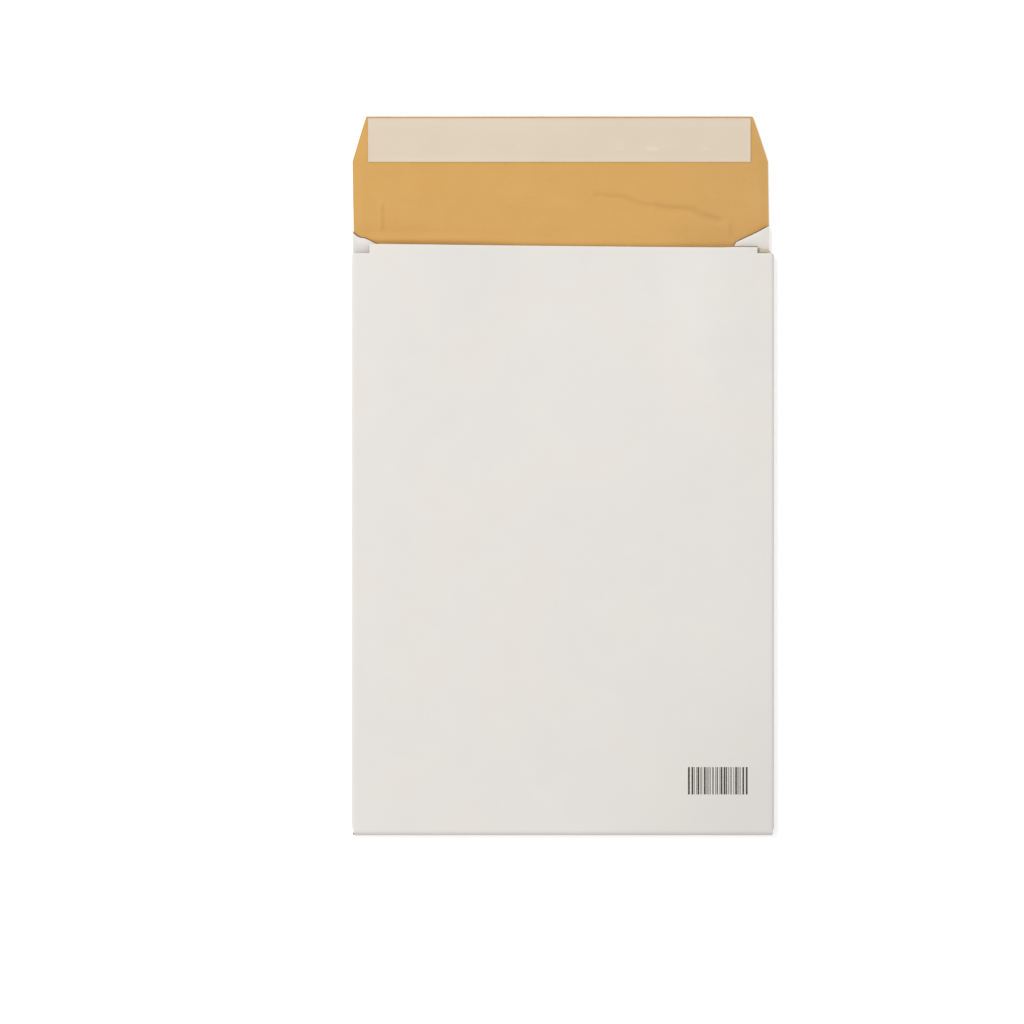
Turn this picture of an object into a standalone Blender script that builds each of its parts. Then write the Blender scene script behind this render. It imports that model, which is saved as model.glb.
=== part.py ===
"""A padded envelope with side gussets, lying on its back with the flap open.

The envelope is one blank of two plies, a white outer sheet and a brown padded liner. Both plies
are cut and folded together: the flap and the back are flat, the blank turns up at the bottom fold
and comes back as the front, and a wing on each side of the front folds in and out again as a
gusset, whose raw edge is glued to the back. X runs across, +Y towards the flap and +Z up. The
origin is under the middle of the whole envelope, on the surface that it lies on.
"""

import math

import bmesh
import bpy
from mathutils import Vector

MM = 0.001

# Outline of the blank
BACK_WIDTH = 236 * MM
CLOSED_LENGTH = 344 * MM
FLAP_LENGTH = 65.4 * MM
FLAP_SLANT_LENGTH = 25.6 * MM
FLAP_TAPER = 8.2 * MM
THROAT_BELOW_CREASE = 7.7 * MM
NOTCH_WIDTH = 9.4 * MM
NOTCH_DEPTH = 4.6 * MM

# Side gussets, with the top edge of each wing measured from the bottom of the notch
GUSSET_DEPTH = 25 * MM
WING_CORNER = 3 * MM
WING_OUTER_RISE = 0.3 * MM
WING_TIP_DROP = 1.7 * MM
WING_ABOVE_BOTTOM_FOLD = 0.3 * MM
LEFT_WING_LIFT = -2 * MM
RIGHT_WING_LIFT = 2 * MM

# Plies and the gaps between the folded layers
OUTER_THICKNESS = 0.3 * MM
LINER_THICKNESS = 1.2 * MM
CLEARANCE = 0.3 * MM
BROWN_GAP = 0.4 * MM
WHITE_GAP = 0.4 * MM
BOTTOM_FOLD_INSIDE = 1.2 * MM

# How far the hand folding is off square
FRONT_SHIFT = 1.14 * MM
FLAP_SKEW = 1.05 * MM
THROAT_SLANT = 0.75 * MM

# Closure and seams
STRIP_WIDTH = 24.5 * MM
STRIP_BELOW_TIP = 1.4 * MM
STRIP_END_MARGIN = 0.65 * MM
STRIP_THICKNESS = 0.2 * MM
ADHESIVE_MARGIN = 2.5 * MM
ADHESIVE_THICKNESS = 0.2 * MM
SEAM_WIDTH = 10 * MM
SEAM_INSET = 1 * MM
SEAM_THICKNESS = 0.3 * MM
SEAM_END_MARGIN = 8 * MM

BOTTOM_FOLD_STEPS = 16
SIDE_FOLD_STEPS = 8

# Heights of the stack, from the surface up: the back, the seam glue, and then the three
# layers of the gusseted side, which are the inner wing, the outer wing and the front
WALL = OUTER_THICKNESS + CLEARANCE + LINER_THICKNESS
INNER_WING_TOP = 2 * WALL + SEAM_THICKNESS + 2 * CLEARANCE
OUTER_WING_BOTTOM = INNER_WING_TOP + WHITE_GAP
OUTER_WING_TOP = OUTER_WING_BOTTOM + WALL
SIDE_FOLD_HEIGHT = OUTER_WING_TOP + BROWN_GAP / 2
SIDE_FOLD_RADIUS = WALL + BROWN_GAP / 2
TIP_FOLD_HEIGHT = INNER_WING_TOP + WHITE_GAP / 2
STACK_HEIGHT = OUTER_WING_TOP + BROWN_GAP + WALL
BOTTOM_FOLD_DEPTH = WALL + BOTTOM_FOLD_INSIDE

# Places along Y
BOTTOM_Y = -(CLOSED_LENGTH + FLAP_LENGTH) / 2
BOTTOM_FOLD_Y = BOTTOM_Y + BOTTOM_FOLD_DEPTH
WING_FOOT_Y = BOTTOM_FOLD_Y + WING_ABOVE_BOTTOM_FOLD
CREASE_Y = BOTTOM_Y + CLOSED_LENGTH
THROAT_Y = CREASE_Y - THROAT_BELOW_CREASE
NOTCH_Y = THROAT_Y - NOTCH_DEPTH
FLAP_TIP_Y = CREASE_Y + FLAP_LENGTH
FLAP_SLANT_Y = FLAP_TIP_Y - FLAP_SLANT_LENGTH

# Places along X, measured out from the middle
SIDE_X = BACK_WIDTH / 2
NOTCH_X = SIDE_X + SIDE_FOLD_RADIUS - NOTCH_WIDTH
TIP_FOLD_X = SIDE_X - GUSSET_DEPTH


def clear_scene():
    for old in list(bpy.data.objects):
        bpy.data.objects.remove(old, do_unlink=True)


def paper_material(name, colour, roughness):
    material = bpy.data.materials.new(name)
    material.use_nodes = True
    shader = material.node_tree.nodes["Principled BSDF"]
    shader.inputs["Base Color"].default_value = (*colour, 1)
    shader.inputs["Roughness"].default_value = roughness
    shader.inputs["Metallic"].default_value = 0
    return material


def extruded(bm, edges, step):
    """Extrudes the edges by a step and returns the new far edges."""
    made = bmesh.ops.extrude_edge_only(bm, edges=edges)["geom"]
    points = [part for part in made if isinstance(part, bmesh.types.BMVert)]
    bmesh.ops.translate(bm, verts=points, vec=step)
    return [part for part in made if isinstance(part, bmesh.types.BMEdge)]


def folded(bm, edges, centre, axis, steps):
    """Turns the edges half way round an axis and returns the far edges and the points made."""
    before = set(bm.verts)
    turned = bmesh.ops.spin(
        bm, geom=edges, cent=centre, axis=axis, angle=math.pi, steps=steps
    )["geom_last"]
    far_edges = [part for part in turned if isinstance(part, bmesh.types.BMEdge)]
    return far_edges, [point for point in bm.verts if point not in before]


def flat_row(bm, half_widths, y, z):
    """A row of edges across the sheet, from left to right."""
    points = [bm.verts.new((x, y, z)) for x in half_widths]
    return [bm.edges.new(pair) for pair in zip(points, points[1:])]


def middle_x(edge):
    return sum(point.co.x for point in edge.verts) / 2


def add_back_and_front(bm, depth):
    """The strip that runs from the flap's tip down the back, round the bottom and up the front.

    depth is how far the sheet lies under the white skin. Returns the front's two side edges,
    left and right, that carry the wings.
    """
    tip_share = 1 - FLAP_TAPER / SIDE_X
    columns = (-SIDE_X, -NOTCH_X, NOTCH_X, SIDE_X)
    row = flat_row(bm, [x * tip_share for x in columns], FLAP_TIP_Y, depth)
    row = extruded(bm, row, (0, FLAP_SLANT_Y - FLAP_TIP_Y, 0))
    for point in {point for edge in row for point in edge.verts}:
        point.co.x /= tip_share
    row = extruded(bm, row, (0, CREASE_Y - FLAP_SLANT_Y, 0))
    row = extruded(bm, row, (0, BOTTOM_FOLD_Y - CREASE_Y, 0))

    # The bottom fold is pressed flatter than a half circle.
    middle = Vector((0, BOTTOM_FOLD_Y, STACK_HEIGHT / 2))
    row, bend = folded(bm, row, middle, (-1, 0, 0), BOTTOM_FOLD_STEPS)
    pressed = (BOTTOM_FOLD_DEPTH - depth) / (STACK_HEIGHT / 2 - depth)
    for point in bend:
        point.co.y = BOTTOM_FOLD_Y + (point.co.y - BOTTOM_FOLD_Y) * pressed

    row = extruded(bm, row, (0, WING_FOOT_Y - BOTTOM_FOLD_Y, 0))
    foot_points = {point for edge in row for point in edge.verts}
    row = extruded(bm, row, (0, NOTCH_Y - WING_FOOT_Y, 0))
    sides = []
    for side in (-1, 1):
        outermost = max((p for edge in row for p in edge.verts), key=lambda p: side * p.co.x)
        sides.append(next(e for e in outermost.link_edges if e.other_vert(outermost) in foot_points))
    between_notches = [edge for edge in row if abs(middle_x(edge)) < NOTCH_X / 2]
    lip = extruded(bm, between_notches, (0, NOTCH_DEPTH, 0))
    for point in {point for edge in lip for point in edge.verts}:
        point.co.y -= THROAT_SLANT * point.co.x / SIDE_X
    return sides


def top_point(edges):
    return max((point for edge in edges for point in edge.verts), key=lambda point: point.co.y)


def add_wing(bm, front_edge, side, depth, lift):
    """One gusset: under the front to the inner fold, and out again to the edge of the back.

    side is -1 on the left and 1 on the right. The top corner of each fold is moved along Y to
    the slanting top edge of the wing.
    """
    centre = (side * SIDE_X, 0, SIDE_FOLD_HEIGHT)
    edges, _ = folded(bm, [front_edge], centre, (0, side, 0), SIDE_FOLD_STEPS)
    edges = extruded(bm, edges, (-side * WING_CORNER, 0, 0))
    top_point(edges).co.y = NOTCH_Y + WING_OUTER_RISE + lift
    edges = extruded(bm, edges, (side * (WING_CORNER - GUSSET_DEPTH), 0, 0))
    top_point(edges).co.y = NOTCH_Y - WING_TIP_DROP + lift
    centre = (side * TIP_FOLD_X, 0, TIP_FOLD_HEIGHT)
    edges, _ = folded(bm, edges, centre, (0, -side, 0), SIDE_FOLD_STEPS)
    edges = extruded(bm, edges, (side * GUSSET_DEPTH, 0, 0))
    top_point(edges).co.y = CREASE_Y + lift


def sit_off_square(bm):
    """Moves the points as the hand folding left them: the back to one side of the front, and
    the flap leaning a little from its crease."""
    for point in bm.verts:
        rise = (point.co.z - WALL) / (SIDE_FOLD_HEIGHT - WALL)
        point.co.x -= FRONT_SHIFT * (1 - min(max(rise, 0), 1))
        point.co.x -= FLAP_SKEW * max(point.co.y - CREASE_Y, 0) / FLAP_LENGTH


def finished(bm, name, thickness, material):
    """Makes the object of a flat or folded sheet, with its thickness on both sides of it."""
    sit_off_square(bm)
    bmesh.ops.recalc_face_normals(bm, faces=bm.faces)
    mesh = bpy.data.meshes.new(name)
    bm.to_mesh(mesh)
    bm.free()
    mesh.materials.append(material)
    sheet = bpy.data.objects.new(name, mesh)
    bpy.context.scene.collection.objects.link(sheet)
    wall = sheet.modifiers.new("thickness", "SOLIDIFY")
    wall.thickness = thickness
    wall.offset = 0
    wall.use_even_offset = True
    mesh.shade_smooth()
    mesh.set_sharp_from_angle(angle=math.radians(30))


def add_ply(name, skin_depth, thickness, material):
    """One folded ply, whose near skin lies skin_depth under the white face of the envelope."""
    bm = bmesh.new()
    depth = skin_depth + thickness / 2
    left, right = add_back_and_front(bm, depth)
    add_wing(bm, left, -1, depth, LEFT_WING_LIFT)
    add_wing(bm, right, 1, depth, RIGHT_WING_LIFT)
    finished(bm, name, thickness, material)


def add_strip(name, left, right, low, high, bottom, thickness, material):
    """A flat strip between two places across and two along, lying at the height of its bottom."""
    bm = bmesh.new()
    row = flat_row(bm, (left, right), low, bottom + thickness / 2)
    extruded(bm, row, (0, high - low, 0))
    finished(bm, name, thickness, material)


def add_closure(adhesive_material, strip_material):
    """The seal adhesive on the flap, with the release strip that covers it."""
    high = FLAP_TIP_Y - STRIP_BELOW_TIP
    low = high - STRIP_WIDTH
    adhesive_bottom = WALL + CLEARANCE
    strip_bottom = adhesive_bottom + ADHESIVE_THICKNESS + CLEARANCE
    half = SIDE_X - FLAP_TAPER - STRIP_END_MARGIN
    inside = half - ADHESIVE_MARGIN
    add_strip(
        "seal_adhesive", -inside, inside, low + ADHESIVE_MARGIN, high - ADHESIVE_MARGIN,
        adhesive_bottom, ADHESIVE_THICKNESS, adhesive_material,
    )
    add_strip("release_strip", -half, half, low, high, strip_bottom, STRIP_THICKNESS, strip_material)


def add_side_seams(material):
    """The glue that holds each inner wing's raw edge down on the back."""
    out = SIDE_X - SEAM_INSET
    low = WING_FOOT_Y + SEAM_END_MARGIN
    high = NOTCH_Y - SEAM_END_MARGIN
    for side, word in ((-1, "left"), (1, "right")):
        across = sorted((side * out, side * (out - SEAM_WIDTH)))
        add_strip(
            "side_seam_glue_" + word, *across, low, high, WALL + CLEARANCE, SEAM_THICKNESS, material
        )


def main():
    clear_scene()
    white_paper = paper_material("white_paper", (0.79, 0.77, 0.73), 0.75)
    brown_padding = paper_material("brown_padding", (0.68, 0.39, 0.13), 0.7)
    glassine = paper_material("release_paper", (0.74, 0.64, 0.51), 0.45)
    hot_melt = paper_material("hot_melt", (0.85, 0.80, 0.62), 0.3)
    add_ply("outer_sheet", 0, OUTER_THICKNESS, white_paper)
    add_ply("padded_liner", OUTER_THICKNESS + CLEARANCE, LINER_THICKNESS, brown_padding)
    add_closure(hot_melt, glassine)
    add_side_seams(hot_melt)


main()
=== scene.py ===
import math
import random

import bmesh
import bpy
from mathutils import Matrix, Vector, kdtree, noise


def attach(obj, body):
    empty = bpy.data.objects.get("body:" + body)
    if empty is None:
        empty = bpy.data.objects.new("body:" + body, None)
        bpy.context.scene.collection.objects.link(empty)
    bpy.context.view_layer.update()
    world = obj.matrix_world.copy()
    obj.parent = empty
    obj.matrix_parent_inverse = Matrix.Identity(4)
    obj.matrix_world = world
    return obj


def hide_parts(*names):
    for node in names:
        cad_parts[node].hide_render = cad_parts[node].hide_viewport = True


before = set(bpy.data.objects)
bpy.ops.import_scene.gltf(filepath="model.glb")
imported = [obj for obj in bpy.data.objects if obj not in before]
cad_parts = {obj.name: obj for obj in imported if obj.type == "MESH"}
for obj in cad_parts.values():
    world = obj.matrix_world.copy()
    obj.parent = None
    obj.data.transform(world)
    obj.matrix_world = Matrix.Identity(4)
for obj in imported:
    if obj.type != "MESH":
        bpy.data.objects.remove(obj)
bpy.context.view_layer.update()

# Outer sheet. White paper, die-cut in one piece with the padded liner behind it: the flap, the
# back, the front and a wing on each side. It is folded up at the bottom, and each wing is folded
# in and out again as a gusset, whose raw edge is glued down on the back.
mm = 0.001
half_width = 118 * mm
notch_x = 110.6 * mm
tip_fold_x = 93 * mm
bottom_fold_y = -201.7 * mm
foot_y = -201.4 * mm
notch_y = 127 * mm
throat_y = 131.6 * mm
crease_y = 139.3 * mm
slant_y = 179.1 * mm
flap_tip_y = 204.7 * mm
flap_taper = 8.2 * mm
stack_height = 8.9 * mm
side_fold_z = 6.9 * mm
tip_fold_z = 4.7 * mm
bottom_fold_depth = 3.3 * mm
outer_thickness = 0.35 * mm
close_rows = 3 * mm
near = 0.1 * mm
hair = 0.01 * mm
back_shift = 1.14 * mm
flap_skew = 1.05 * mm
flap_rise = 1.3 * mm
mouth_sag = 4 * mm
edge_roll = 0.3 * mm


def pick(sheet, kind, wanted):
    """Selects only the edges or faces whose middle passes a test, in edit mode."""
    bpy.ops.mesh.select_all(action="DESELECT")
    bpy.ops.mesh.select_mode(type=kind)
    bm = bmesh.from_edit_mesh(sheet.data)
    for part in bm.edges if kind == "EDGE" else bm.faces:
        middle = sum((point.co for point in part.verts), Vector()) / len(part.verts)
        if wanted(part, middle):
            part.select = True
    bm.select_flush_mode()
    bmesh.update_edit_mesh(sheet.data)


def extend(distance, direction, count):
    """Extrudes the selected edges by a distance, in equal steps."""
    step = Vector(direction) * distance / count
    for _ in range(count):
        bpy.ops.mesh.extrude_edges_move(TRANSFORM_OT_translate={"value": step})


def fold_over(centre, axis, steps):
    """Folds the selected edges back on themselves round an axis."""
    bpy.ops.mesh.spin(
        steps=steps, angle=math.pi, center=centre, axis=axis, use_auto_merge=False
    )


def squared(a, b):
    """How much further out a pressed fold stands than a round one, in the direction a, b."""
    reach = math.hypot(a, b)
    return reach / (abs(a) ** 2.8 + abs(b) ** 2.8) ** (1 / 2.8)


def new_grid(name, size, centre, cells):
    """A flat grid at its size and place, left in edit mode and selected."""
    bpy.ops.object.select_all(action="DESELECT")
    bpy.ops.mesh.primitive_grid_add(x_subdivisions=cells[0], y_subdivisions=cells[1], size=1)
    grid = bpy.context.active_object
    grid.name = name
    grid.data.name = name
    bpy.ops.object.mode_set(mode="EDIT")
    bpy.ops.transform.resize(value=(size[0], size[1], 1), center_override=(0, 0, 0))
    bpy.ops.transform.translate(value=centre)
    return grid


def fold_blank(name, depth):
    """The near face of one ply, depth under the white face, cut and folded square."""
    straight = slant_y - crease_y
    sheet = new_grid(
        name, (2 * notch_x, straight), (0, (slant_y + crease_y) / 2, depth), (74, 13)
    )
    for side in (-1, 1):
        pick(sheet, "EDGE", lambda edge, middle: side * middle.x > notch_x - near)
        extend(half_width - notch_x, (side, 0, 0), 3)

    # The flap's slanting ends bulge a little between their corners.
    pick(sheet, "EDGE", lambda edge, middle: middle.y > slant_y - near)
    rows = 9
    width = half_width
    for row in range(1, rows + 1):
        extend((flap_tip_y - slant_y) / rows, (0, 1, 0), 1)
        bulge = 0.12 * mm * math.sin(math.pi * row / rows)
        next_width = half_width - flap_taper * row / rows + bulge
        bpy.ops.transform.resize(value=(next_width / width, 1, 1), center_override=(0, 0, 0))
        width = next_width

    pick(sheet, "EDGE", lambda edge, middle: middle.y < crease_y + near)
    extend(crease_y - notch_y, (0, -1, 0), 4)
    extend(notch_y - bottom_fold_y, (0, -1, 0), 82)
    fold_over((0, bottom_fold_y, stack_height / 2), (1, 0, 0), 14)
    pick(sheet, "FACE", lambda face, middle: middle.y < bottom_fold_y)
    pressed = (bottom_fold_depth - depth) / (stack_height / 2 - depth)
    bpy.ops.transform.resize(value=(1, pressed, 1), center_override=(0, bottom_fold_y, 0))

    front_z = stack_height - depth

    def on_front(middle):
        return abs(middle.z - front_z) < near

    pick(sheet, "EDGE", lambda edge, middle: edge.is_boundary and on_front(middle)
         and abs(middle.y - bottom_fold_y) < near and abs(middle.x) < half_width - near)
    extend(foot_y - bottom_fold_y, (0, 1, 0), 1)
    extend(close_rows, (0, 1, 0), 3)
    extend(notch_y - foot_y - 2 * close_rows, (0, 1, 0), 81)
    extend(close_rows, (0, 1, 0), 3)
    pick(sheet, "EDGE", lambda edge, middle: on_front(middle) and abs(middle.x) < notch_x
         and middle.y > notch_y - near)
    extend(throat_y - notch_y, (0, 1, 0), 3)

    for side in (-1, 1):
        pick(sheet, "EDGE", lambda edge, middle: on_front(middle)
             and side * middle.x > half_width - near and foot_y < middle.y < notch_y)
        fold_over((side * half_width, 0, side_fold_z), (0, -side, 0), 8)
        extend(0.4 * close_rows, (-side, 0, 0), 1)
        extend(0.6 * close_rows, (-side, 0, 0), 1)
        extend(half_width - tip_fold_x - close_rows, (-side, 0, 0), 8)
        fold_over((side * tip_fold_x, 0, tip_fold_z), (0, side, 0), 6)
        extend(half_width - tip_fold_x, (side, 0, 0), 12)

    bpy.ops.mesh.select_all(action="SELECT")
    bpy.ops.mesh.normals_make_consistent(inside=False)
    bm = bmesh.from_edit_mesh(sheet.data)
    front_middle = Vector((0, 0, front_z))
    nearest = min(bm.faces, key=lambda face: (face.calc_center_median() - front_middle).length)
    if nearest.normal.z < 0:
        bpy.ops.mesh.flip_normals()
    bpy.ops.object.mode_set(mode="OBJECT")
    return sheet


def smooth(value, low, high):
    """A soft step: 0 up to low and 1 from high on."""
    share = min(max((value - low) / (high - low), 0), 1)
    return share * share * (3 - 2 * share)


def blend(low, high, share):
    return low + (high - low) * share


# How high each wing is cut: beside the front, at its inner fold, and on the lower ply from just
# past that fold out to the raw edge. The right wing is the higher one.
right_wing_cut = (128.2 * mm, 127.5 * mm, 130.1 * mm, 142.8 * mm)
left_wing_cut = (124.3 * mm, 125.9 * mm, 125.9 * mm, 139.0 * mm)


def wing_top(side, out, z):
    """Where the cut top edge of a wing ends, from the fold at the front round to the raw edge."""
    corner, tip, start, raw = right_wing_cut if side > 0 else left_wing_cut
    if out > half_width + hair:
        return notch_y
    if z > tip_fold_z:
        top = blend(tip, corner, min(max((out - tip_fold_x) / (22 * mm), 0), 1))
        return blend(top, notch_y, max((out - 116.8 * mm) / (1.2 * mm), 0))
    top = blend(start, raw, max((out - tip_fold_x) / (25 * mm), 0))
    if side < 0:
        return top - 1.4 * mm * math.exp(-((out - 115 * mm) / (2.2 * mm)) ** 2)
    top = blend(top + tip - start, top, smooth(out, 97.2 * mm, 99.2 * mm))
    return top - 0.45 * mm * math.exp(-((out - 111 * mm) / (7 * mm)) ** 2)


def settled(point):
    """Where a point of the square-folded blank lies once the envelope has been handled."""
    x, y, z = point
    side = 1 if x > 0 else -1
    out = abs(x)

    # Cutting: the slanting tops of the wings and the slightly curved throat.
    on_wing = 3.5 * mm < z < 8.4 * mm or out > half_width + hair
    if on_wing and y > 90 * mm:
        y += (wing_top(side, out, z) - notch_y) * min(max((y - notch_y) / (24 * mm) + 1, 0), 1)
    elif z > 8.4 * mm and y > notch_y:
        hollow = 0.42 * mm + 0.0101 * x - 0.35 * mm * smooth(x, 88 * mm, 100 * mm)
        y -= hollow * (y - notch_y) / (throat_y - notch_y)

    # The folds are pressed squarer than round, and the side folds run out into their corners.
    if out > half_width + hair:
        reach = squared(out - half_width, z - side_fold_z)
        rounding = (1.1 if side > 0 else 1.2) * mm
        swell = 1.0 if side > 0 else 1.25
        ends = min(smooth(y, foot_y - 1.2 * mm, foot_y + 0.9 * mm),
                   1 - smooth(y, notch_y - rounding, notch_y + rounding / 2))
        x = side * (half_width + (out - half_width) * reach * swell * (0.3 + 0.7 * ends))
        z = side_fold_z + (z - side_fold_z) * reach
        if y < foot_y + hair:
            y = bottom_fold_y + 0.03 * mm
    if y < bottom_fold_y:
        reach = squared((y - bottom_fold_y) / bottom_fold_depth, 2 * z / stack_height - 1)
        y = bottom_fold_y + (y - bottom_fold_y) * reach
        z = stack_height / 2 + (z - stack_height / 2) * reach

    # Folding: the back lies to one side of the front, and the flap leans from its crease.
    under = 1 - min(max((z - 4.6 * mm) / (0.6 * mm), 0), 1)
    moved = x + under * (0.0045 * x - back_shift)
    if y < bottom_fold_y + hair:
        end = 1 - 0.4 * max((bottom_fold_y - y) / bottom_fold_depth, 0) ** 3
        moved = blend(moved, x * (1 + 0.0135 * end), smooth(z, 2 * mm, 6 * mm))
    x = moved
    share = max(y - crease_y, 0) / (flap_tip_y - crease_y)
    x -= flap_skew * share
    y += 0.4 * mm * share

    # Lying: the seams are pressed flat, the wings' free corners spring up, and the front sinks in
    # at its open end and waves a little.
    along = smooth(y, -203.5 * mm, -194 * mm)
    if 2 * mm < z < tip_fold_z:
        if side < 0:
            x -= 0.35 * mm * smooth(out, 108 * mm, 118 * mm)
        press = 0.6 * smooth(out, 95 * mm, 107 * mm) + 0.5 * smooth(out, 112 * mm, 118 * mm)
        drop = press * mm * along
        spring = (1.0 if side > 0 else 2.5) * mm * smooth(out, 97 * mm, 106 * mm)
        drop -= spring * smooth(y, 124.8 * mm, 130.8 * mm)
    else:
        drop = 0.45 * mm * smooth(out, 98 * mm, 120 * mm) * along * smooth(z, 2 * mm, 4.8 * mm)
    rise = smooth(z, 1.8 * mm, 7.1 * mm)
    open_end = smooth(y, -25 * mm, 132 * mm)
    middle = (1 - smooth(x, 50 * mm, 92 * mm)) * (1 - smooth(-x, 10 * mm, 90 * mm))
    drop += rise * open_end * mouth_sag * middle
    wave = noise.noise(Vector((x * 11, y * 9, 3.7)))
    wave += 0.5 * noise.noise(Vector((x * 31, y * 24, 8.1)))
    drop -= 0.22 * mm * wave * rise * along * (1 - 0.6 * smooth(out, 90 * mm, 112 * mm))

    # The open flap springs up a little from its crease, with a slack wave along its tip.
    slack = 0.35 * math.sin(x * 21 + 0.6) + 0.2 * math.sin(x * 52 + 2)
    drop -= (flap_rise + slack * mm) * share ** 1.6
    return Vector((x, y, z - drop))


def settle(sheet):
    """Lets a square-folded ply lie naturally. The knife has rolled the mouth's cut edge down."""
    bm = bmesh.new()
    bm.from_mesh(sheet.data)
    for point in bm.verts:
        rolled = point.is_boundary and point.co.y > notch_y - 1 * mm and point.co.z > 4 * mm
        point.co = settled(point.co)
        if rolled:
            point.co.z -= edge_roll
    bm.to_mesh(sheet.data)
    bm.free()


def take(piece):
    """Selects only this piece and makes it the active one."""
    bpy.ops.object.select_all(action="DESELECT")
    piece.select_set(True)
    bpy.context.view_layer.objects.active = piece


def apply_modifiers(piece):
    take(piece)
    for modifier in list(piece.modifiers):
        bpy.ops.object.modifier_apply(modifier=modifier.name)


def smooth_shade(piece, degrees):
    take(piece)
    bpy.ops.object.shade_smooth_by_angle(angle=math.radians(degrees))


class Wire:
    """The output of a node. Python's operators on it add Math nodes."""

    def __init__(self, nodes, socket):
        self.nodes = nodes
        self.socket = socket

    def math(self, operation, *values):
        return self.nodes.node("ShaderNodeMath", {"operation": operation}, dict(enumerate(values)))

    def __add__(self, other):
        return self.math("ADD", self, other)

    def __radd__(self, other):
        return self.math("ADD", other, self)

    def __sub__(self, other):
        return self.math("SUBTRACT", self, other)

    def __rsub__(self, other):
        return self.math("SUBTRACT", other, self)

    def __mul__(self, other):
        return self.math("MULTIPLY", self, other)

    def __rmul__(self, other):
        return self.math("MULTIPLY", other, self)


class Nodes:
    """Makes the nodes of a tree one after the other."""

    def __init__(self, tree):
        self.tree = tree

    def node(self, kind, settings, sockets, output=0):
        """Adds a node with its settings and the values or links of its sockets."""
        made = self.tree.nodes.new(kind)
        for name, value in settings.items():
            setattr(made, name, value)
        for name, value in sockets.items():
            self.feed(made.inputs[name], value)
        return Wire(self, made.outputs[output])

    def feed(self, socket, value):
        if isinstance(value, Wire):
            self.tree.links.new(value.socket, socket)
        else:
            socket.default_value = value


class Finish(Nodes):
    """A material, with the patterns that its finish is put together from."""

    def __init__(self, name, gloss=0.5):
        self.material = bpy.data.materials.new(name)
        self.material.use_nodes = True
        super().__init__(self.material.node_tree)
        self.shader = self.tree.nodes["Principled BSDF"]
        self.shader.inputs["Specular IOR Level"].default_value = gloss
        self.place = self.node("ShaderNodeTexCoord", {}, {}, "Object")

    def noise(self, scale, detail=2.0, stretch=(1, 1, 1), roughness=0.5):
        """Cloudy noise from 0 to 1, about 0.5, with scale in turns a metre."""
        spot = self.node("ShaderNodeMapping", {}, {"Vector": self.place, "Scale": stretch})
        return self.node(
            "ShaderNodeTexNoise", {},
            {"Vector": spot, "Scale": scale, "Detail": detail, "Roughness": roughness},
        )

    def step(self, value, low, high):
        """A soft step of a value, from 0 at low to 1 at high."""
        return self.node(
            "ShaderNodeMapRange", {"interpolation_type": "SMOOTHSTEP"},
            {"Value": value, "From Min": low, "From Max": high},
        )

    def attribute(self, name):
        return self.node("ShaderNodeAttribute", {"attribute_name": name}, {}, "Fac")

    def mix(self, share, first, second):
        """Mixes two colours."""
        return self.node(
            "ShaderNodeMix", {"data_type": "RGBA"}, {0: share, 6: first, 7: second}, 2
        )

    def shade(self, colour, amount):
        """Makes a colour lighter or darker by a factor."""
        return self.node(
            "ShaderNodeVectorMath", {"operation": "SCALE"}, {"Vector": colour, "Scale": amount}
        )

    def wear(self, colour, roughness, height, depth):
        """Wires the finish to the shader, with the bump's full depth in metres."""
        bump = self.node(
            "ShaderNodeBump", {}, {"Strength": 1.0, "Distance": depth, "Height": height}
        )
        self.feed(self.shader.inputs["Base Color"], colour)
        self.feed(self.shader.inputs["Roughness"], roughness)
        self.feed(self.shader.inputs["Normal"], bump)


# The paper is matt and slightly cloudy, with short fibres lying every way, and the padding
# behind it shows through as very low lumps. Painted shade greys it round the front's lower right
# corner.
paper = Finish("white_uncoated_paper", 0.25)
cloud = paper.noise(75, 4.0)
tint = paper.noise(21, 3.0)
fibres = paper.noise(900, 5.0, (1, 0.35, 1), 0.6)
cross_fibres = paper.noise(1300, 3.0, (0.3, 1, 1), 0.6)
lumps = paper.noise(160, 2.0)
paper_colour = paper.mix(
    paper.step(tint, 0.35, 0.65), (0.795, 0.765, 0.715, 1), (0.787, 0.761, 0.723, 1)
)
paper_colour = paper.shade(
    paper_colour, 0.965 + 0.035 * cloud + 0.02 * fibres + 0.015 * cross_fibres
)
# Painted shade: the paper is greyed round the lower right corner of the front.
from_corner = paper.node(
    "ShaderNodeVectorMath", {"operation": "DISTANCE"},
    {0: paper.place, 1: (half_width, bottom_fold_y, stack_height)}, "Value",
)
painted_corner_shade = 1 - paper.step(from_corner, 0.0, 125 * mm)
paper_colour = paper.mix(0.12 * painted_corner_shade, paper_colour, (0.35, 0.34, 0.32, 1))
paper.wear(
    paper_colour,
    0.66 + 0.12 * cloud,
    0.35 * fibres + 0.25 * cross_fibres + 0.9 * lumps + 0.8 * cloud,
    0.05 * mm,
)

outer = fold_blank("white_outer_sheet", 0)
settle(outer)
wall = outer.modifiers.new("paper", "SOLIDIFY")
wall.thickness = outer_thickness
wall.offset = -1
wall.use_even_offset = True
apply_modifiers(outer)
smooth_shade(outer, 40)
outer.data.materials.append(paper.material)
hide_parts("outer_sheet")
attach(outer, "root")
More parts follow.
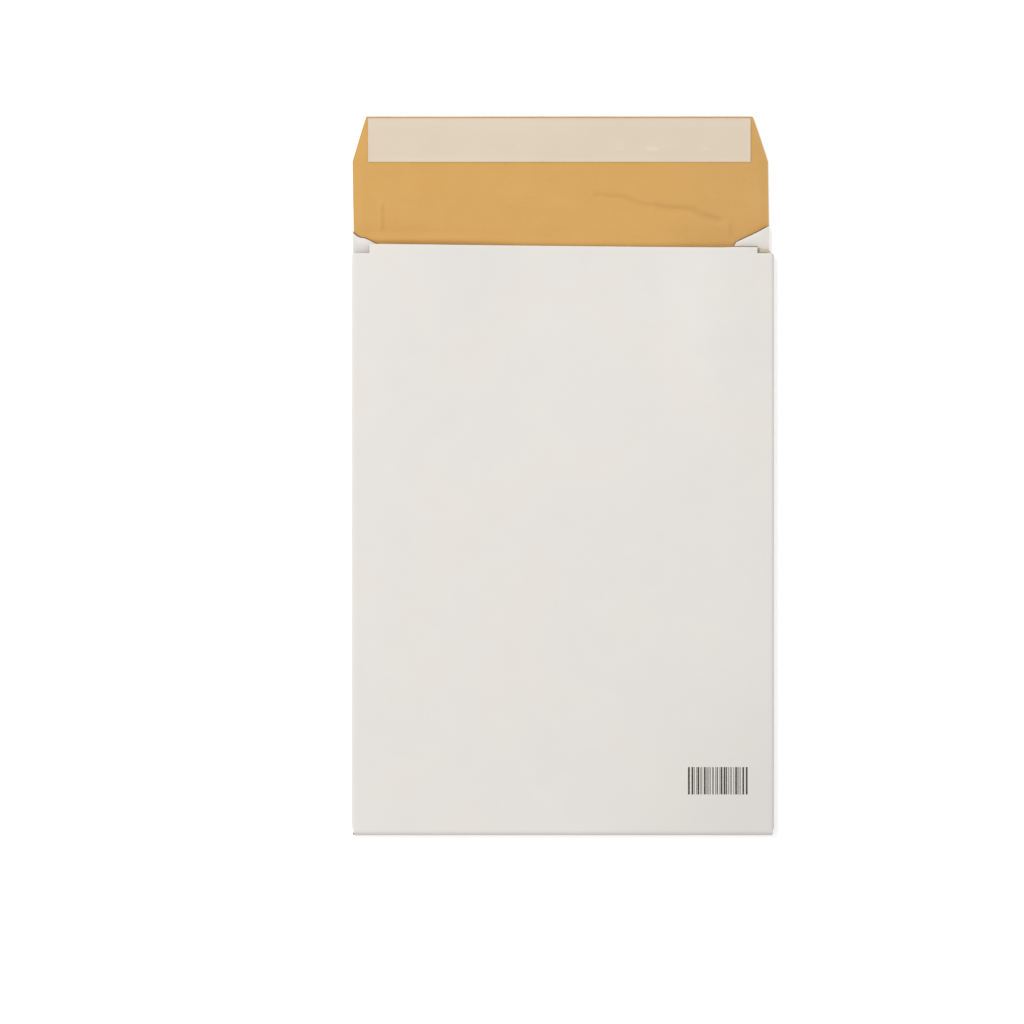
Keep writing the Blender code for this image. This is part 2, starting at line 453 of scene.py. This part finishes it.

# Padded liner. Soft padding between two brown kraft papers, cut and folded with the outer sheet
# and pasted to it. The cut edges are pressed thin, and the inside of the flap has creases where
# the envelope was opened. The kraft is darker in its creases, as wear and as painted shade,
# and painted shade darkens it a little to the right.
kraft = Finish("brown_kraft_paper", 0.25)
cloud = kraft.noise(60, 4.0)
streaks = kraft.noise(130, 4.0, (0.18, 1, 1))
fibres = kraft.noise(1000, 5.0, (0.3, 1, 1), 0.65)
flecks = kraft.step(kraft.noise(620, 2.0, (0.45, 1, 1)), 0.68, 0.76)
lumps = kraft.noise(170, 2.0)
kraft_colour = kraft.mix(cloud, (0.652, 0.364, 0.100, 1), (0.703, 0.404, 0.124, 1))
kraft_colour = kraft.mix(0.22 * flecks, kraft_colour, (0.42, 0.22, 0.07, 1))
# Creases and ridges are darker, partly as wear and partly as painted shade.
kraft_colour = kraft.mix(0.35 * kraft.attribute("crease_wear_and_shade"), kraft_colour, (0.50, 0.27, 0.08, 1))
kraft_colour = kraft.mix(0.9 * kraft.attribute("frayed"), kraft_colour, (0.64, 0.56, 0.43, 1))
# Painted shade: the kraft is darkened a little towards the right.
across = kraft.node("ShaderNodeSeparateXYZ", {}, {"Vector": kraft.place}, "X")
painted_right_shade = kraft.step(across, 40 * mm, 110 * mm)
kraft_colour = kraft.mix(0.065 * painted_right_shade, kraft_colour, (0.30, 0.27, 0.22, 1))
kraft_colour = kraft.shade(kraft_colour, 0.94 + 0.06 * fibres + 0.06 * streaks)
kraft.wear(
    kraft_colour,
    0.56 + 0.14 * cloud,
    0.4 * fibres + 0.5 * streaks + 1.0 * lumps + 0.3 * flecks,
    0.06 * mm,
)

# The padding's cut edge is dark brown, partly its own colour and partly painted shade, so that it
# draws thin dark lines along the mouth and the wing tops. Where it is frayed it is pale grey, also
# darkened a little with painted shade.
cut_padding = Finish("cut_edge_of_padding", 0.1)
fluff = cut_padding.noise(1500, 5.0, (0.5, 0.5, 1), 0.7)
layers = cut_padding.noise(2600, 2.0, (0.03, 0.03, 1))
padding_edge_and_shade_colour = cut_padding.mix(fluff, (0.13, 0.078, 0.03, 1), (0.30, 0.20, 0.095, 1))
padding_edge_and_shade_colour = cut_padding.mix(
    0.9 * cut_padding.attribute("frayed"), padding_edge_and_shade_colour, (0.40, 0.37, 0.29, 1)
)
padding_edge_and_shade_colour = cut_padding.shade(padding_edge_and_shade_colour, 0.8 + 0.4 * layers)
cut_padding.wear(padding_edge_and_shade_colour, 0.85 + 0.1 * fluff, fluff + layers, 0.12 * mm)

liner_depth = 0.4 * mm
liner_thickness = 1.4 * mm
liner = fold_blank("padded_kraft_liner", liner_depth)

# The inside of the flap shows, so its faces are made finer to hold the creases.
bpy.ops.object.mode_set(mode="EDIT")
pick(liner, "FACE", lambda face, middle: middle.z < 1 * mm and middle.y > notch_y)
bpy.ops.mesh.subdivide(number_cuts=2)
bpy.ops.object.mode_set(mode="OBJECT")


def near_edge(sheet):
    """How far each point of an open sheet lies from its nearest cut edge."""
    bm = bmesh.new()
    bm.from_mesh(sheet.data)
    cut = [point.co.copy() for point in bm.verts if point.is_boundary]
    bm.free()
    tree = kdtree.KDTree(len(cut))
    for index, place in enumerate(cut):
        tree.insert(place, index)
    tree.balance()
    return [tree.find(point.co)[2] for point in sheet.data.vertices]


def padding_left(distance):
    """The share of the padding's thickness that is left at a distance from a cut edge."""
    return 0.72 + 0.28 * smooth(distance, 0, 6 * mm)


padding = liner.vertex_groups.new(name="padding")
for index, distance in enumerate(near_edge(liner)):
    padding.add([index], padding_left(distance), "REPLACE")
liner.vertex_groups.new(name="inside")
settle(liner)
liner.data.materials.append(kraft.material)
liner.data.materials.append(cut_padding.material)
wall = liner.modifiers.new("padding", "SOLIDIFY")
wall.thickness = liner_thickness
wall.offset = -1
wall.use_even_offset = True
wall.vertex_group = "padding"
wall.shell_vertex_group = "inside"
wall.material_offset_rim = 1


def dip(place, path, width):
    """How deep a groove along a path is at a place, from 0 to 1."""
    nearest = 1.0
    for start, end in zip(path, path[1:]):
        run = end - start
        share = min(max((place - start).dot(run) / run.length_squared, 0), 1)
        nearest = min(nearest, (place - start - run * share).length)
    return math.exp(-(nearest / width) ** 2)


def line(*places):
    return [Vector((x * mm, y * mm)) for x, y in places]


long_crease = line((19, 160.2), (27, 159.2), (34, 159), (41, 156.2), (47, 154.3), (50.6, 154.1))
short_crease = line((54, 153.8), (60, 152.4), (68, 152.2), (74, 151.4), (79, 148.6), (89, 145.8))
ridge = line((-104, 154.6), (-103.8, 141.6))
small_ridge = line((94.2, 144.2), (94.8, 138.8))

# A dent's path, its width and how deep it is in millimetres. A hump is less than nothing deep.
dents = (
    (line((45, 144.4), (45.4, 141.8)), 1.3, 0.10),
    (line((-64.5, 152), (-65.5, 143)), 2.2, 0.12),
    (line((-28, 150), (-25, 145)), 2.4, 0.10),
    (line((10, 160), (20, 157)), 3.0, -0.10),
    (line((-46, 161.5), (-36, 160)), 2.6, -0.08),
    (line((-22, 162), (-17, 160)), 2.6, -0.08),
)


def inside_relief(place):
    """How far the inside of the liner stands out at a place, and how much it is darkened in its
    creases, as wear and painted shade.
    """
    depth = 0.58 * dip(place, long_crease, 1.3 * mm) + 0.75 * dip(place, short_crease, 1.7 * mm)
    height = 0.65 * dip(place, ridge, 0.9 * mm) + 0.4 * dip(place, small_ridge, 1.1 * mm)
    for path, width, dent in dents:
        depth += dent * dip(place, path, width * mm)
    score = math.exp(-((place.y - 139.6 * mm) / (1.4 * mm)) ** 2)
    swell = noise.noise(Vector((place.x * 28, place.y * 42, 1.3)))
    swell += 0.5 * noise.noise(Vector((place.x * 85, place.y * 110, 6.2)))
    crease_wear_and_shade = min(abs(depth) + height, 1)
    crest = blend(132.6, 134.6, smooth(-place.x, -10 * mm, 76 * mm)) * mm
    bulge = 0.35 + 0.6 * smooth(-place.x, -10 * mm, 90 * mm)
    bulge *= math.exp(-((place.y - crest) / (2.2 * mm)) ** 2)
    return (height + bulge - depth - 0.07 * score + 0.1 * swell) * mm, crease_wear_and_shade


apply_modifiers(liner)
# The crease mask darkens the kraft, partly as wear and partly as painted shade.
crease_wear_and_shade = liner.data.attributes.new("crease_wear_and_shade", "FLOAT", "POINT")
frayed = liner.data.attributes.new("frayed", "FLOAT", "POINT")
inside_index = liner.vertex_groups["inside"].index
inside_points = {
    point.index for point in liner.data.vertices
    if any(group.group == inside_index and group.weight > 0.5 for group in point.groups)
}
for index in inside_points:
    point = liner.data.vertices[index]
    x, y, z = point.co
    on_back = z < 2.2 * mm + 3 * mm * (y > 145 * mm)
    if y > notch_y and on_back:
        height, share = inside_relief(point.co.xy)
        fade = smooth(half_width - abs(x + back_shift), 0, 4 * mm)
        fade *= smooth(flap_tip_y - y, 0, 4 * mm) * smooth(y, notch_y, 132 * mm)
        point.co.z += height * fade
        crease_wear_and_shade.data[index].value = share * fade
    if x > 94 * mm and y > 122 * mm and point.co.z > 5 * mm:
        frayed.data[index].value = 1

# The padding's cut edge slants out, so it shows from above round the mouth and the flap, where
# its dark colour draws thin lines of painted shade. The slant is widest on the wings and in the
# notch at the right.
flap_slant = 0.25
mouth_slant = 0.45
wing_slant = 0.85
slant = {}
for face in liner.data.polygons:
    if face.material_index == 1 and face.center.y > 112 * mm:
        for index in face.vertices:
            slant.setdefault(index, []).append(face.normal * face.area)
for index, normals in slant.items():
    point = liner.data.vertices[index]
    outward = sum(normals, Vector()).xy.normalized()
    across = min(abs(normal.normalized().x) for normal in normals) > 0.9
    at_mouth = point.co.z > 5 * mm
    in_left_notch = point.co.x < -96 * mm and (point.co.y < 128.5 * mm or at_mouth)
    if across or in_left_notch or index not in inside_points:
        continue
    if not at_mouth and point.co.y > 145 * mm:
        width = -flap_slant
    elif abs(point.co.x) > 90 * mm and (not at_mouth or point.co.x > 94 * mm):
        width = wing_slant - 0.6 * smooth(point.co.x, 116.2 * mm, 117.6 * mm)
    else:
        width = mouth_slant
    point.co.xy += outward * width * mm
liner.vertex_groups.clear()
smooth_shade(liner, 40)

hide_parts("padded_liner")
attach(liner, "root")


# Seam glue. A band of hot melt rolled on under each gusset's raw edge, which holds it down on
# the back. The band is thin and its edges wander where it was pressed out.
seam_x = 112 * mm
seam_y = -37.2 * mm
seam_width = 10 * mm
seam_length = 312.4 * mm
seam_shift = 1.12 * mm
glue_gap = 0.02 * mm


def seam_glue(word, side):
    seam = new_grid(
        "seam_glue_" + word, (seam_width, seam_length), (side * seam_x, seam_y, 0), (6, 90)
    )
    bpy.ops.object.mode_set(mode="OBJECT")
    for point in seam.data.vertices:
        x, y, _ = point.co
        across = (abs(x) - seam_x) / (seam_width / 2)
        wander = noise.noise(Vector((side * 4, y * 60, across))) * 0.7 * mm * abs(across)
        low = liner_depth + liner_thickness * padding_left(half_width - abs(x)) + glue_gap
        point.co = (x - side * wander - seam_shift, y, low)
    wall = seam.modifiers.new("glue", "SOLIDIFY")
    wall.thickness = 0.22 * mm
    wall.offset = 1
    apply_modifiers(seam)
    smooth_shade(seam, 40)
    seam.data.materials.append(glue.material)
    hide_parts("side_seam_glue_" + word)
    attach(seam, "root")


glue = Finish("pale_hot_melt")
swirl = glue.noise(240, 3.0, (1, 0.3, 1))
bubbles = glue.step(glue.noise(900, 1.0), 0.62, 0.72)
glue_colour = glue.mix(swirl, (0.86, 0.80, 0.60, 1), (0.80, 0.72, 0.48, 1))
glue_colour = glue.mix(0.3 * bubbles, glue_colour, (0.93, 0.90, 0.78, 1))
glue.wear(glue_colour, 0.22 + 0.16 * swirl, swirl + 0.4 * bubbles, 0.08 * mm)
seam_glue("left", -1)
seam_glue("right", 1)


# Seal adhesive. A band of pressure-sensitive adhesive on the inside of the flap, 2.5 mm inside
# the release strip all round.
drop_height = 20 * mm
strip_place = (-2.3 * mm, 191.6 * mm, drop_height)
band_size = (213.3 * mm, 19.5 * mm)


def lay_on(piece, carrier, gap):
    """Lets a flat piece down on what carries it, with a gap under it."""
    drop = piece.modifiers.new("lay", "SHRINKWRAP")
    drop.target = carrier
    drop.wrap_method = "PROJECT"
    drop.use_project_z = True
    drop.use_negative_direction = True
    drop.use_positive_direction = False
    drop.offset = gap


band = new_grid("seal_adhesive_band", band_size, strip_place, (72, 8))
bpy.ops.object.mode_set(mode="OBJECT")
lay_on(band, liner, glue_gap)
wall = band.modifiers.new("adhesive", "SOLIDIFY")
wall.thickness = 0.14 * mm
wall.offset = 1
apply_modifiers(band)
smooth_shade(band, 40)
band.data.materials.append(glue.material)
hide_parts("seal_adhesive")
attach(band, "root")

# Release strip. Cream siliconed paper over the adhesive, cut to the flap's full width and peeled
# off before sealing. Its free margins lift a little, and small blisters stand in it.
strip_size = (218.3 * mm, 24.9 * mm)
strip = new_grid("release_paper_strip", strip_size, strip_place, (180, 20))
bpy.ops.object.mode_set(mode="OBJECT")
lay_on(strip, liner, 0.19 * mm)
apply_modifiers(strip)

# A blister's path, its width and how high it stands in millimetres.
blisters = (
    (line((30, 186.4), (33, 186.3)), 1.2, 0.12),
    (line((48.5, 186.4), (52.5, 186.5)), 1.4, 0.17),
    (line((53, 186), (61, 185.6)), 1.1, 0.06),
    (line((79.5, 186.4), (82, 186.3)), 1.2, 0.12),
    (line((-40, 190), (-31, 189.4)), 1.6, 0.06),
    (line((2, 183.5), (9, 183)), 1.5, 0.06),
)
blistered = strip.data.attributes.new("blistered", "FLOAT", "POINT")
for point in strip.data.vertices:
    place = point.co.xy
    from_end = strip_size[0] / 2 - abs(place.x - strip_place[0])
    from_side = strip_size[1] / 2 - abs(place.y - strip_place[1])
    lift = 0.16 * (1 - smooth(min(from_end, from_side), 0, 2.6 * mm))
    for path, width, height in blisters:
        there = dip(place, path, width * mm)
        lift += height * there
        blistered.data[point.index].value += there * height * 6
    lift += 0.04 * noise.noise(Vector((place.x * 60, place.y * 90, 2.4)))
    point.co.z += lift * mm
wall = strip.modifiers.new("strip", "SOLIDIFY")
wall.thickness = 0.11 * mm
wall.offset = 1
apply_modifiers(strip)
smooth_shade(strip, 40)

release = Finish("cream_release_paper")
cloud = release.noise(48, 3.0)
streaks = release.noise(160, 3.0, (0.12, 1, 1))
fibres = release.noise(1100, 4.0, (0.4, 1, 1), 0.6)
strip_colour = release.mix(cloud, (0.709, 0.604, 0.466, 1), (0.744, 0.641, 0.500, 1))
blister = release.step(release.attribute("blistered"), 0.2, 1.0)
strip_colour = release.mix(0.6 * blister, strip_colour, (0.80, 0.70, 0.57, 1))
strip_colour = release.shade(strip_colour, 0.965 + 0.035 * fibres + 0.03 * streaks)
release.wear(strip_colour, 0.4 + 0.12 * cloud, 0.4 * fibres + 0.7 * streaks, 0.025 * mm)
strip.data.materials.append(release.material)
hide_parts("release_strip")
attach(strip, "root")

# Printed bars. One block of bars in warm black ink, printed low on the front, each with made-up
# widths and gaps. The ink is thin, so its grain shows.
bars_y = -173.8 * mm
bar_height = 15.6 * mm

# The block's ends, and each bar's width and gap, are in millimetres.
left = 71.05
right = 104.4
bars = new_grid("printed_bars", (0.5 * mm, bar_height), (71.3 * mm, bars_y, drop_height), (1, 5))
picked = random.Random(11)
while left < right:
    width = picked.choice((0.33, 0.33, 0.66, 0.99))
    centre = (left + width / 2) * mm
    bpy.ops.mesh.primitive_grid_add(
        x_subdivisions=1, y_subdivisions=5, size=1, location=(centre, bars_y, drop_height)
    )
    bpy.ops.transform.resize(
        value=(width * mm, bar_height, 1), center_override=(centre, bars_y, drop_height)
    )
    left += width + picked.choice((0.33, 0.45, 0.66, 0.99))
bpy.ops.object.mode_set(mode="OBJECT")
lay_on(bars, outer, 0.03 * mm)
apply_modifiers(bars)

ink = Finish("black_printing_ink")
grain = ink.noise(1400, 3.0)
ink_colour = ink.mix(
    ink.step(grain, 0.45, 0.75), (0.033, 0.028, 0.012, 1), (0.090, 0.081, 0.050, 1)
)
ink.wear(ink_colour, 0.5 + 0.15 * grain, grain, 0.01 * mm)
bars.data.materials.append(ink.material)
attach(bars, "root")

# Studio. The envelope lies on a white table under one broad soft lamp at the upper left and an
# even white room. The camera hangs straight over it on a long lens.
bpy.ops.object.select_all(action="DESELECT")
bpy.ops.mesh.primitive_plane_add(size=12, location=(0, 0, -0.2 * mm))
table = bpy.context.active_object
table.name = "table"
white = Finish("white_table", 0.1)
white.feed(white.shader.inputs["Base Color"], (0.85, 0.85, 0.85, 1))
white.feed(white.shader.inputs["Roughness"], 0.9)
seen = white.node("ShaderNodeLightPath", {}, {}, "Is Camera Ray")
seen = seen + white.node("ShaderNodeLightPath", {}, {}, "Is Glossy Ray")
seen = seen + white.node("ShaderNodeLightPath", {}, {}, "Is Transmission Ray")
white.feed(white.shader.inputs["Emission Color"], white.shade((1, 1, 1), 0.49 * seen))
white.feed(white.shader.inputs["Emission Strength"], 1.0)
table.data.materials.append(white.material)

# The camera sees the room as white, and the object is lit by a little less of it.
room = bpy.data.worlds.new("white_room")
bpy.context.scene.world = room
room.use_nodes = True
air = Nodes(room.node_tree)
facing = air.node("ShaderNodeTexCoord", {}, {}, "Generated")
upward = air.node("ShaderNodeSeparateXYZ", {}, {"Vector": facing}, "Z")
even = air.node("ShaderNodeMapRange", {}, {"Value": upward, "To Min": 0.645, "To Max": 0.61})
seen = air.node("ShaderNodeLightPath", {}, {}, "Is Camera Ray")
strength = air.node("ShaderNodeMix", {}, {0: seen, 2: even, 3: 1.0})
background = room.node_tree.nodes["Background"]
air.feed(background.inputs["Strength"], strength)
air.feed(background.inputs["Color"], (1, 1, 1, 1))

lamp_data = bpy.data.lights.new("soft_lamp", "AREA")
lamp_data.shape = "DISK"
lamp_data.size = 1.6
lamp_data.energy = 59
lamp = bpy.data.objects.new("soft_lamp", lamp_data)
bpy.context.scene.collection.objects.link(lamp)
lamp.location = (-1.45, 1.35, 2.99)
lamp.rotation_euler = (-lamp.location).to_track_quat("-Z", "Y").to_euler()

camera_data = bpy.data.cameras.new("camera")
camera_data.lens = 400
camera_data.sensor_width = 36
camera_data.clip_end = 50
camera = bpy.data.objects.new("camera", camera_data)
bpy.context.scene.collection.objects.link(camera)
camera.location = (-0.0293, -0.0206, 6.4945)
bpy.context.scene.camera = camera
bpy.context.scene.view_settings.view_transform = "Standard"
